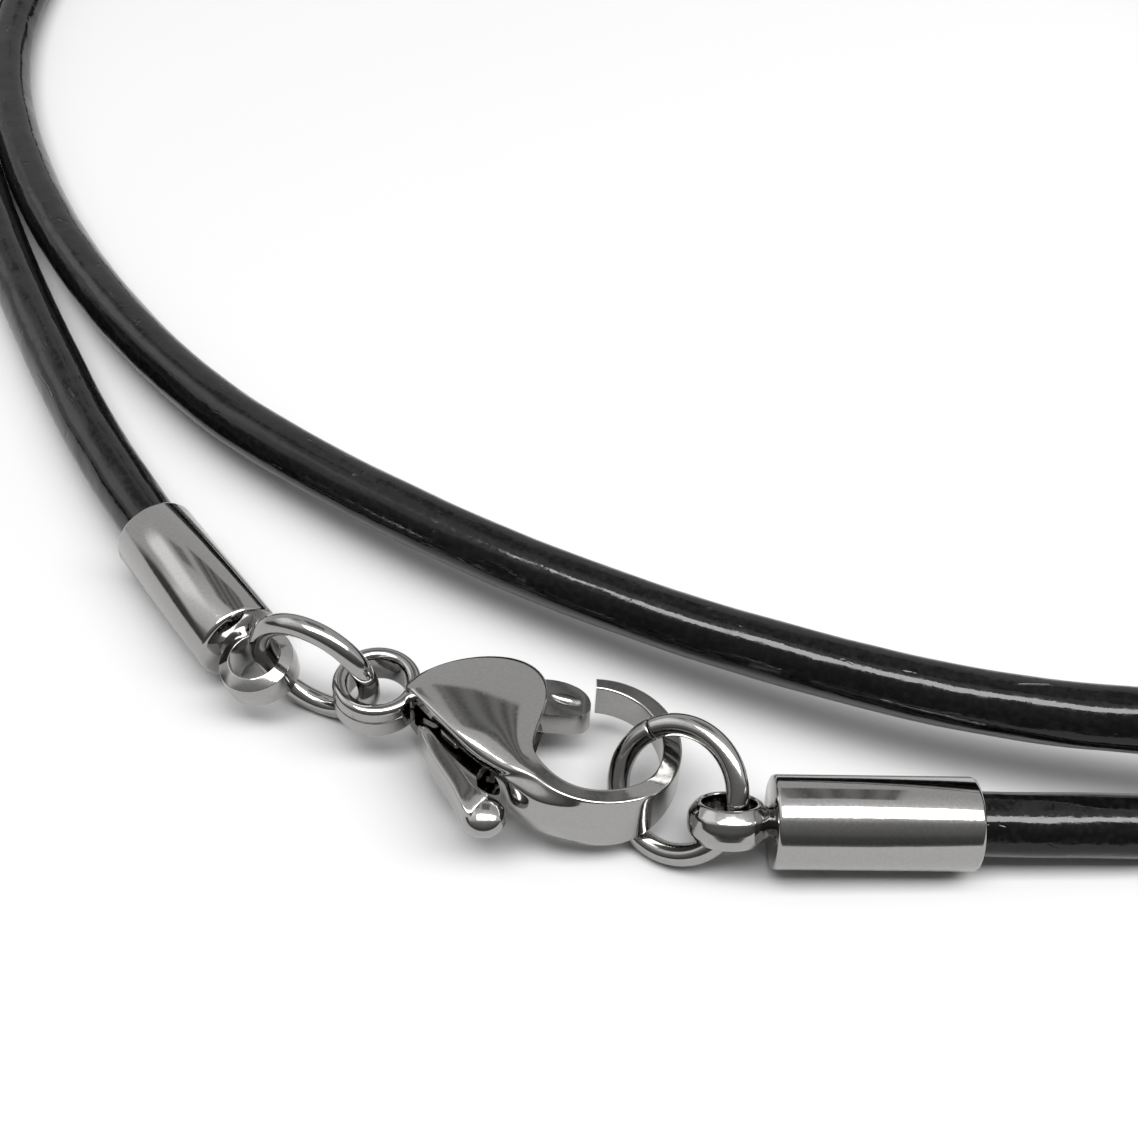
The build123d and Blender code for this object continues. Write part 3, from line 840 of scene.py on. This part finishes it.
def rib_outline(rib):
    """The points round one rib: along the top from the near to the far side, and back below."""
    near, far = Vector(rib["near"]), Vector(rib["far"])
    width = (far - near).length
    across = (far - near) / width
    near_height, far_height = rib["heights"]
    near_round, far_round = rib["rounds"]
    bulge = Vector(rib.get("outer", near)) - near
    low_side, high_side = SIDE_HEIGHTS

    def top(distance, swell):
        level = near_height + (far_height - near_height) * distance / width
        return level + rib["crown"] * swell

    half = [
        (0.0, 0.0),
        (0.0, low_side * near_height),
        (0.0, min(high_side * near_height, near_height - near_round - UNDER_CORNER)),
        (0.0, near_height - near_round),
        (CORNER_SHARE * near_round, near_height - CORNER_SHARE * near_round),
        (near_round, top(near_round, NEAR_SWELL)),
        *[(share * width, top(share * width, swell)) for share, swell in TOP_POINTS],
        (width - far_round, top(width - far_round, FAR_SWELL)),
        (width - CORNER_SHARE * far_round, far_height - CORNER_SHARE * far_round),
        (width, far_height - far_round),
        (width, 0.5 * far_height),
        (width, 0.0),
    ]
    below = [(distance, -height) for distance, height in reversed(half[1:-1])]
    around = half + below
    points = []
    for index, (distance, height) in enumerate(around):
        step = min(index, len(around) - index)
        push = PUSHES[step] if step < len(PUSHES) else 0.0
        spot = near + across * distance + bulge * push
        points.append(Vector((spot.x, spot.y, height)))
    return points


print("a rib has", len(rib_outline(SHELL_RIBS[0])), "points")


# %% From ribs to a cage
def grow_ribs(bm, outlines):
    """Draws the first outline as a circle and extrudes it from rib to rib."""
    count = len(outlines[0])
    verts = bmesh.ops.create_circle(bm, cap_ends=True, segments=count, radius=1)["verts"]
    for vert, point in zip(verts, outlines[0]):
        vert.co = point
    for outline in outlines[1:]:
        ring = set(verts)
        edges = [
            edge for edge in bm.edges if edge.verts[0] in ring and edge.verts[1] in ring
        ]
        grown = bmesh.ops.extrude_edge_only(bm, edges=edges)["geom"]
        fresh = {item for item in grown if isinstance(item, bmesh.types.BMVert)}
        verts = [
            next(edge.other_vert(vert) for edge in vert.link_edges if edge.other_vert(vert) in fresh)
            for vert in verts
        ]
        for vert, point in zip(verts, outline):
            vert.co = point
    return bmesh.ops.contextual_create(bm, geom=verts)["faces"]


# %% Modifiers and booleans on a bmesh
def with_modifiers(bm, *modifiers):
    """The mesh of a bmesh after some modifiers, each given as its type and its settings."""
    mesh = bpy.data.meshes.new("work")
    bm.to_mesh(mesh)
    bm.free()
    work = bpy.data.objects.new("work", mesh)
    bpy.context.collection.objects.link(work)
    for kind, settings in modifiers:
        modifier = work.modifiers.new(kind, kind)
        for name, value in settings.items():
            setattr(modifier, name, value)
    made = bmesh.new()
    made.from_object(work, bpy.context.evaluated_depsgraph_get())
    bpy.data.objects.remove(work)
    bpy.data.meshes.remove(mesh)
    return made


def joined_or_cut(bm, tool_bm, operation):
    """A bmesh after an exact boolean with another one."""
    mesh = bpy.data.meshes.new("tool")
    tool_bm.to_mesh(mesh)
    tool_bm.free()
    tool = bpy.data.objects.new("tool", mesh)
    bpy.context.collection.objects.link(tool)
    settings = {"object": tool, "operation": operation, "solver": "EXACT"}
    made = with_modifiers(bm, ("BOOLEAN", settings))
    volume = round(made.calc_volume(), 2)
    print(operation.lower(), "leaves", len(made.faces), "faces and", volume, "mm3")
    bpy.data.objects.remove(tool)
    bpy.data.meshes.remove(mesh)
    return made


# %% Cast the shell and the hook
CAST_LEVELS = 3
TIP_INSET = 0.05  # keeps the subdivision from rounding the hook's flat tip

cage = bmesh.new()
outlines = [rib_outline(rib) for rib in SHELL_RIBS]
outlines += [rib_outline(as_shell_rib(row)) for row in HOOK_RIBS]
tip_face = grow_ribs(cage, outlines)
bmesh.ops.inset_region(cage, faces=tip_face, thickness=TIP_INSET, use_even_offset=True)
bmesh.ops.recalc_face_normals(cage, faces=cage.faces)
print("cage has", len(cage.faces), "faces")
cast = with_modifiers(cage, ("SUBSURF", {"levels": CAST_LEVELS, "render_levels": CAST_LEVELS}))
print("casting has", len(cast.faces), "faces")

# %% [markdown]
# ## Lobster clasp: the eye
#
# The eye at the thin end of the shell is a flat ring with soft edges. A fine groove round it is the
# parting line of the mould. Both are rounded rectangles that are spun, and exact booleans join the
# ring to the shell and cut the groove, so the casting stays one closed skin.


# %% Eye and parting line
def rounded_section(bm, middle, width, height, rounding, steps):
    """The outline of a rounded rectangle in the X and Z plane, as a ring of edges."""
    upright = (
        Matrix.Translation((middle, 0, 0))
        @ Matrix.Rotation(math.pi / 2, 4, "X")
        @ Matrix.Diagonal((width, height, 1, 1))
    )
    grid = bmesh.ops.create_grid(bm, x_segments=1, y_segments=1, size=0.5, matrix=upright)
    return rounded_outline(bm, grid["verts"], rounding, steps)


EYE_STEPS = 6
GROOVE_STEPS = 4
GROOVE_AT = 0.2  # above the middle plane
GROOVE_TOOL = 0.2  # how far the cutting ring reaches out of the eye
GROOVE_ROUNDING = 0.4  # as a share of the groove's width

eye_bm = bmesh.new()
eye_wall = (EYE_DIAMETER - EYE_HOLE) / 2
eye_section = rounded_section(
    eye_bm, (EYE_HOLE + eye_wall) / 2, eye_wall, EYE_HEIGHT, EYE_ROUNDING, EYE_STEPS
)
spin_profile(eye_bm, *eye_section, (0, 0, 1), SPIN_STEPS)
bmesh.ops.remove_doubles(eye_bm, verts=eye_bm.verts, dist=MERGE_WITHIN)
bmesh.ops.recalc_face_normals(eye_bm, faces=eye_bm.faces)
bmesh.ops.translate(eye_bm, verts=eye_bm.verts, vec=(-EYE_REACH, 0, 0))
cast = joined_or_cut(cast, eye_bm, "UNION")
groove_bm = bmesh.new()
groove_section = rounded_section(
    groove_bm,
    EYE_DIAMETER / 2 + GROOVE_TOOL / 2,
    GROOVE_TOOL + 2 * EYE_GROOVE,
    2 * EYE_GROOVE,
    GROOVE_ROUNDING * EYE_GROOVE,
    GROOVE_STEPS,
)
spin_profile(groove_bm, *groove_section, (0, 0, 1), SPIN_STEPS)
bmesh.ops.remove_doubles(groove_bm, verts=groove_bm.verts, dist=MERGE_WITHIN)
bmesh.ops.recalc_face_normals(groove_bm, faces=groove_bm.faces)
bmesh.ops.translate(groove_bm, verts=groove_bm.verts, vec=(-EYE_REACH, 0, GROOVE_AT))
cast = joined_or_cut(cast, groove_bm, "DIFFERENCE")

# %% [markdown]
# ## Lobster clasp: room for the lever
#
# The lever lies in a slot on the middle plane, between two cheeks of the shell. Where its thumb strip
# comes out, the slot widens into a mouth with one round end. A plate, a taller plate and a cylinder
# cut them. The slot's left end leaves room for the lever's tail when it swings open.


# %% A flat plate
def prism(outline, height, corner, corner_steps=3):
    """A flat plate on the clasp's middle plane, from an outline with its corners rounded."""
    bm = bmesh.new()
    verts = [bm.verts.new((x, y, -height / 2)) for x, y in outline]
    bmesh.ops.contextual_create(bm, geom=verts)
    round_off(bm, list(bm.verts), "VERTICES", corner, corner_steps, clamp=False)
    bottom = list(bm.faces)
    grown = bmesh.ops.extrude_face_region(bm, geom=bottom, use_keep_orig=True)["geom"]
    top = [item for item in grown if isinstance(item, bmesh.types.BMVert)]
    bmesh.ops.translate(bm, verts=top, vec=(0, 0, height))
    bmesh.ops.recalc_face_normals(bm, faces=bm.faces)
    return bm


# %% Slot and mouth
SLOT_HEIGHT = 1.5
SLOT_CORNER = 0.3
MOUTH_CORNER = 0.2
MOUTH_END_DEPTH = 2.6
SLOT_OUTLINE = [
    (-8.85, -5.1),
    (-8.85, -0.25),
    (-8.20, 0.51),
    (-7.24, 1.33),
    (-6.21, 2.00),
    (-5.25, 2.29),
    (-4.45, 2.30),
    (-4.20, 3.60),
    (-2.37, 3.60),
    (-2.37, -1.27),
    (-3.43, -1.90),
    (-4.45, -2.20),
    (-4.45, -5.1),
]
MOUTH_HEIGHT = 1.9
MOUTH_OUTLINE = [
    (-8.70, -5.1),
    (-8.70, -0.15),
    (-7.30, -0.45),
    (-5.60, -1.75),
    (-4.50, -2.35),
    (-4.50, -5.1),
]
MOUTH_END = (-4.5, -3.6, 0.0)
cast = joined_or_cut(cast, prism(SLOT_OUTLINE, SLOT_HEIGHT, SLOT_CORNER), "DIFFERENCE")
cast = joined_or_cut(cast, prism(MOUTH_OUTLINE, MOUTH_HEIGHT, MOUTH_CORNER), "DIFFERENCE")
end_bm = bmesh.new()
bmesh.ops.create_cone(
    end_bm,
    cap_ends=True,
    segments=48,
    radius1=MOUTH_HEIGHT / 2,
    radius2=MOUTH_HEIGHT / 2,
    depth=MOUTH_END_DEPTH,
    matrix=Matrix.Translation(MOUTH_END) @ Matrix.Rotation(math.pi / 2, 4, "X"),
)
cast = joined_or_cut(cast, end_bm, "DIFFERENCE")
bmesh.ops.transform(cast, matrix=IN_METRES @ clasp, verts=cast.verts)
body_piece = finish_piece(
    "clasp_casting", cast, steel, "necklace", sharp_above=35
)
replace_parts(body_piece, "clasp_body")

# %% [markdown]
# ## Lobster clasp: the lever
#
# The lever turns on a pin inside the shell. Its front end is the gate that closes the hook, and its
# other end is a rimmed strip with a ball for the thumb. The flat parts are plates with rounded
# edges, the strip is a row of ribs like the casting, and the ball is a slightly flattened sphere,
# all joined into one. A shallow dish in the gate's end is a squashed sphere that is cut out.

# %% Outlines of the lever's plates
LEVER_THICKNESS = 1.4
WEB_THICKNESS = 0.7
ARM_OUTLINE = [
    (-7.35, -1.35),
    (-7.17, -0.76),
    (-6.55, -0.06),
    (-6.07, 0.83),
    (-4.97, 1.59),
    (-4.30, 2.10),
    (-3.95, 2.60),
    (-3.80, 2.92),
    (-3.20, 3.08),
    (-2.55, 3.12),
    (-1.85, 3.00),
    (-1.32, 2.66),
    (-1.04, 2.15),
    (-1.12, 1.65),
    (-1.60, 1.32),
    (-2.40, 1.12),
    (-3.43, 0.86),
    (-4.15, 0.00),
    (-4.22, -1.02),
    (-4.50, -1.70),
    (-6.20, -1.90),
]
WEB_OUTLINE = [
    (-7.70, -1.45),
    (-7.10, -0.95),
    (-5.50, -0.90),
    (-4.40, -0.90),
    (-4.63, -2.22),
    (-4.77, -3.18),
    (-4.15, -4.45),
    (-4.60, -4.80),
    (-6.00, -3.55),
    (-7.40, -2.20),
]
print("arm and web have", len(ARM_OUTLINE), "and", len(WEB_OUTLINE), "corners")

# %% Thumb strip and ball
STRIP_QUARTER = [(1.0, 0.0), (1.0, 0.78), (0.96, 0.95), (0.80, 1.0), (0.0, 1.0)]  # shares
STRIP_LEVELS = 3
STRIP_RIBS = [
    dict(at=(-8.30, -1.40), half_width=0.07, half_height=0.42),
    dict(at=(-8.14, -1.56), half_width=0.16, half_height=0.62),
    dict(at=(-7.88, -1.80), half_width=0.24, half_height=0.74),
    dict(at=(-7.45, -2.20), half_width=0.29, half_height=0.86),
    dict(at=(-6.75, -2.88), half_width=0.37, half_height=0.87),
    dict(at=(-5.95, -3.45), half_width=0.44, half_height=0.87),
    dict(at=(-5.20, -4.07), half_width=0.43, half_height=0.87),
    dict(at=(-4.72, -4.52), half_width=0.48, half_height=0.87),
    dict(at=(-4.25, -4.76), half_width=0.70, half_height=0.80),
    dict(at=(-3.80, -4.90), half_width=0.78, half_height=0.68),
]
BALL_AT = (-3.72, -4.92, 0.0)
THUMB_BALL = 2.0
BALL_FLATNESS = 0.76
BALL_SIDES = 64


def ellipsoid(at, radii, sides):
    """A ball that is stretched to three radii."""
    bm = bmesh.new()
    bmesh.ops.create_uvsphere(bm, u_segments=sides, v_segments=sides // 2, radius=1.0)
    bmesh.ops.scale(bm, verts=bm.verts, vec=radii)
    bmesh.ops.translate(bm, verts=bm.verts, vec=at)
    return bm


def strip_outline(rib, direction):
    """A rounded bar's section, with closer points at its four corners."""
    across = Vector((-direction.y, direction.x))
    middle = Vector(rib["at"])
    a = rib["half_width"]
    h = rib["half_height"]
    quarter = [(a * share_x, h * share_z) for share_x, share_z in STRIP_QUARTER]
    left = [(-x, z) for x, z in reversed(quarter[:-1])]
    upper = quarter + left
    lower = [(x, -z) for x, z in reversed(upper[1:-1])]
    outline = []
    for x, z in upper + lower:
        spot = middle + across * x
        outline.append(Vector((spot.x, spot.y, z)))
    return outline


strip_outlines = []
for index, rib in enumerate(STRIP_RIBS):
    before = Vector(STRIP_RIBS[max(index - 1, 0)]["at"])
    after = Vector(STRIP_RIBS[min(index + 1, len(STRIP_RIBS) - 1)]["at"])
    strip_outlines.append(strip_outline(rib, (after - before).normalized()))
strip_bm = bmesh.new()
grow_ribs(strip_bm, strip_outlines)
bmesh.ops.recalc_face_normals(strip_bm, faces=strip_bm.faces)
strip_bm = with_modifiers(
    strip_bm, ("SUBSURF", {"levels": STRIP_LEVELS, "render_levels": STRIP_LEVELS})
)

ball_radius = THUMB_BALL / 2
ball_radii = (ball_radius, ball_radius, ball_radius * BALL_FLATNESS)
ball_bm = ellipsoid(BALL_AT, ball_radii, BALL_SIDES)
print("strip has", len(strip_bm.faces), "faces, and the ball", len(ball_bm.faces))

# %% Lever
ARM_CORNER = 0.25
ARM_CORNER_STEPS = 5
ARM_RIM = 0.15
ARM_RIM_STEPS = 4
WEB_CORNER = 0.1
DISH_AT = (-2.30, 2.12, 0.92)
DISH_RADII = (0.86, 0.38, 0.44)
DISH_SIDES = 48

lever = prism(ARM_OUTLINE, LEVER_THICKNESS, ARM_CORNER, ARM_CORNER_STEPS)
rims = [edge for edge in lever.edges if len({round(vert.co.z, 3) for vert in edge.verts}) == 1]
round_off(lever, rims, "EDGES", ARM_RIM, ARM_RIM_STEPS)
lever = joined_or_cut(lever, ellipsoid(DISH_AT, DISH_RADII, DISH_SIDES), "DIFFERENCE")
lever = joined_or_cut(lever, prism(WEB_OUTLINE, WEB_THICKNESS, WEB_CORNER), "UNION")
lever = joined_or_cut(lever, strip_bm, "UNION")
lever = joined_or_cut(lever, ball_bm, "UNION")
bmesh.ops.transform(lever, matrix=IN_METRES @ clasp, verts=lever.verts)
lever_piece = finish_piece(
    "clasp_thumb_lever", lever, steel, "lever", sharp_above=35
)
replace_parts(lever_piece, "clasp_lever")

# %% [markdown]
# ## The lever's pin
#
# The pin is a plain round bar between the clasp's cheeks, both ends in blind seats, so hardly anything
# of it shows. The construction model's own pin is exact enough, so it stays, and only gets a metal of
# its own: a duller steel with turning marks, since it was never polished like the casting.

# %% Pin steel
PIN_MARK_DEPTH = 0.002  # millimetres
PIN_DARK = (0.27, 0.265, 0.26, 1)
PIN_LIGHT = (0.33, 0.325, 0.32, 1)

pin_steel, tree = new_material("filed_pin_steel")
place = tree.node("ShaderNodeTexCoord", {}, {}, output=3)
marks = tree.node(
    "ShaderNodeTexNoise", {}, {"Vector": place, "Scale": 9000.0, "Detail": 3.0, "Roughness": 0.6}
)
relief = tree.node(
    "ShaderNodeBump", {}, {"Height": marks * PIN_MARK_DEPTH, "Distance": 1.0 * MM, "Strength": 1.0}
)
surface(
    tree,
    {"Metallic": 1.0},
    {
        "Base Color": marks.between(0.3, 0.7).mix(PIN_DARK, PIN_LIGHT),
        "Roughness": 0.22 + marks.between(0.3, 0.7) * 0.12,
    },
    relief,
)
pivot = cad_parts["clasp_pivot"]
for pivot_slot in pivot.material_slots:
    pivot_slot.material = pin_steel
print("pin has", len(pivot.material_slots), "material slots")

# %% [markdown]
# ## Table and light
#
# The table burns out to pure white, and only the contact shadows stay. A strong light on a table
# that is really grey does this, and gives the shadows their depth. Polished steel needs something
# to reflect: one long bright strip overhead, a light room behind and a dark one in front.

# %% Table
TABLE_SIZE = 3.0
TABLE_SHADE = 0.36

table_bm = bmesh.new()
bmesh.ops.create_grid(table_bm, x_segments=1, y_segments=1, size=TABLE_SIZE / 2)
table_mesh = bpy.data.meshes.new("table")
table_bm.to_mesh(table_mesh)
table_bm.free()
white, tree = new_material("white_table")
shader = tree.node(
    "ShaderNodeBsdfDiffuse", {}, {"Color": grey(TABLE_SHADE), "Roughness": 0.0}
)
tree.node("ShaderNodeOutputMaterial", {}, {"Surface": shader})
table_mesh.materials.append(white)
table = bpy.data.objects.new("table", table_mesh)
bpy.context.collection.objects.link(table)
print("table is", TABLE_SIZE, "m wide")

# %% Strip light overhead
STRIP_HEIGHT = 0.4
STRIP_BACK_ANGLE = 5.0
STRIP_FRONT_ANGLE = 20.0
STRIP_LEFT_ANGLE = 26.0
STRIP_RIGHT_ANGLE = 52.0
STRIP_BRIGHTNESS = 14.0

back_edge = STRIP_HEIGHT * math.tan(math.radians(STRIP_BACK_ANGLE))
front_edge = -STRIP_HEIGHT * math.tan(math.radians(STRIP_FRONT_ANGLE))
left_edge = -STRIP_HEIGHT * math.tan(math.radians(STRIP_LEFT_ANGLE))
right_edge = STRIP_HEIGHT * math.tan(math.radians(STRIP_RIGHT_ANGLE))
strip_data = bpy.data.lights.new("strip", "AREA")
strip_data.shape = "RECTANGLE"
strip_data.size = right_edge - left_edge
strip_data.size_y = back_edge - front_edge
strip_data.energy = STRIP_BRIGHTNESS * math.pi * strip_data.size * strip_data.size_y
strip = bpy.data.objects.new("strip", strip_data)
strip.location = ((left_edge + right_edge) / 2, (back_edge + front_edge) / 2, STRIP_HEIGHT)
bpy.context.collection.objects.link(strip)
print("strip light of", round(strip_data.energy, 2), "watts")

# %% [markdown]
# ## Sky
#
# The sky is a ramp over the angle from straight up, tipped towards the camera or away from it. This
# gives the caps their hard light and dark bands along their length. A few soft-edged patches of sky
# do the rest: a bright window on the left, a streaked dark patch that lies on the dome of the
# shell, a grey one for the left cap, and darkness low on the left.

# %% Ramp of the sky
SKY = [  # degrees from straight up towards the camera, and brightness
    (-90, 0.77),
    (-40, 0.77),
    (-20, 1.0),
    (-8, 1.3),
    (22, 0.9),
    (30, 0.45),
    (36, 0.34),
    (45, 0.28),
    (60, 0.20),
    (68, 0.13),
    (84, 0.10),
    (90, 0.25),
]
world = bpy.data.worlds.new("studio")
bpy.context.scene.world = world
world.use_nodes = True
world.node_tree.nodes.clear()
tree = Signal(world.node_tree)
direction = tree.node("ShaderNodeTexCoord", {}, {}, output=0)
parts = tree.node("ShaderNodeSeparateXYZ", {}, {0: direction}).socket.node.outputs
sideways = Signal(tree.tree, parts[0])
sideways = sideways.maths("ARCSINE", sideways) * (180 / math.pi)
towards_camera = Signal(tree.tree, parts[1]) * -1.0
upwards = Signal(tree.tree, parts[2])
tipped = towards_camera.maths("ARCTAN2", towards_camera, upwards) * (180 / math.pi)
stops = [((degrees + 90) / 180, shade) for degrees, shade in SKY]
ramp = tree.node("ShaderNodeValToRGB", {"stops": stops}, {"Fac": tipped / 180 + 0.5})
print("sky has", len(SKY), "steps")

# %% Patches of the sky
WINDOW_SHADE = 1.75
STREAK_TURN = 0.95  # radians for each degree sideways
STREAK_HEIGHT = 0.10
STREAK_SHADE = 0.29
CORNER_SHADE = 0.36
LOW_LEFT_SHADE = 0.10


def span(angle, low, high, soft):
    """1 between two angles, and 0 outside them."""
    return angle.between(low - soft, low + soft) * (1 - angle.between(high - soft, high + soft))


def patch(left, right, far, near, soft):
    """1 inside a soft-edged window of the sky, and 0 outside it."""
    return span(sideways, left, right, soft) * span(tipped, far, near, soft)


window = patch(left=-58, right=-32, far=-52, near=-8, soft=6.0)
dark_patch = patch(left=-7, right=19, far=-57.5, near=-27, soft=1.2)
dark_corner = patch(left=-25, right=-15, far=-51, near=-38, soft=2.0)
low_left = 1 - sideways.between(-76, -66)
wave = sideways * STREAK_TURN
streaks = wave.maths("SINE", wave) * STREAK_HEIGHT + STREAK_SHADE
sky = dark_patch.mix(ramp, streaks)
sky = dark_corner.mix(sky, grey(CORNER_SHADE))
sky = window.mix(sky, grey(WINDOW_SHADE))
sky = low_left.mix(sky, grey(LOW_LEFT_SHADE))
background = tree.node("ShaderNodeBackground", {}, {"Color": sky, "Strength": 1.0})
tree.node("ShaderNodeOutputWorld", {}, {"Surface": background})
bpy.context.scene.view_settings.view_transform = "Standard"
print("sky has", len(world.node_tree.nodes), "nodes")
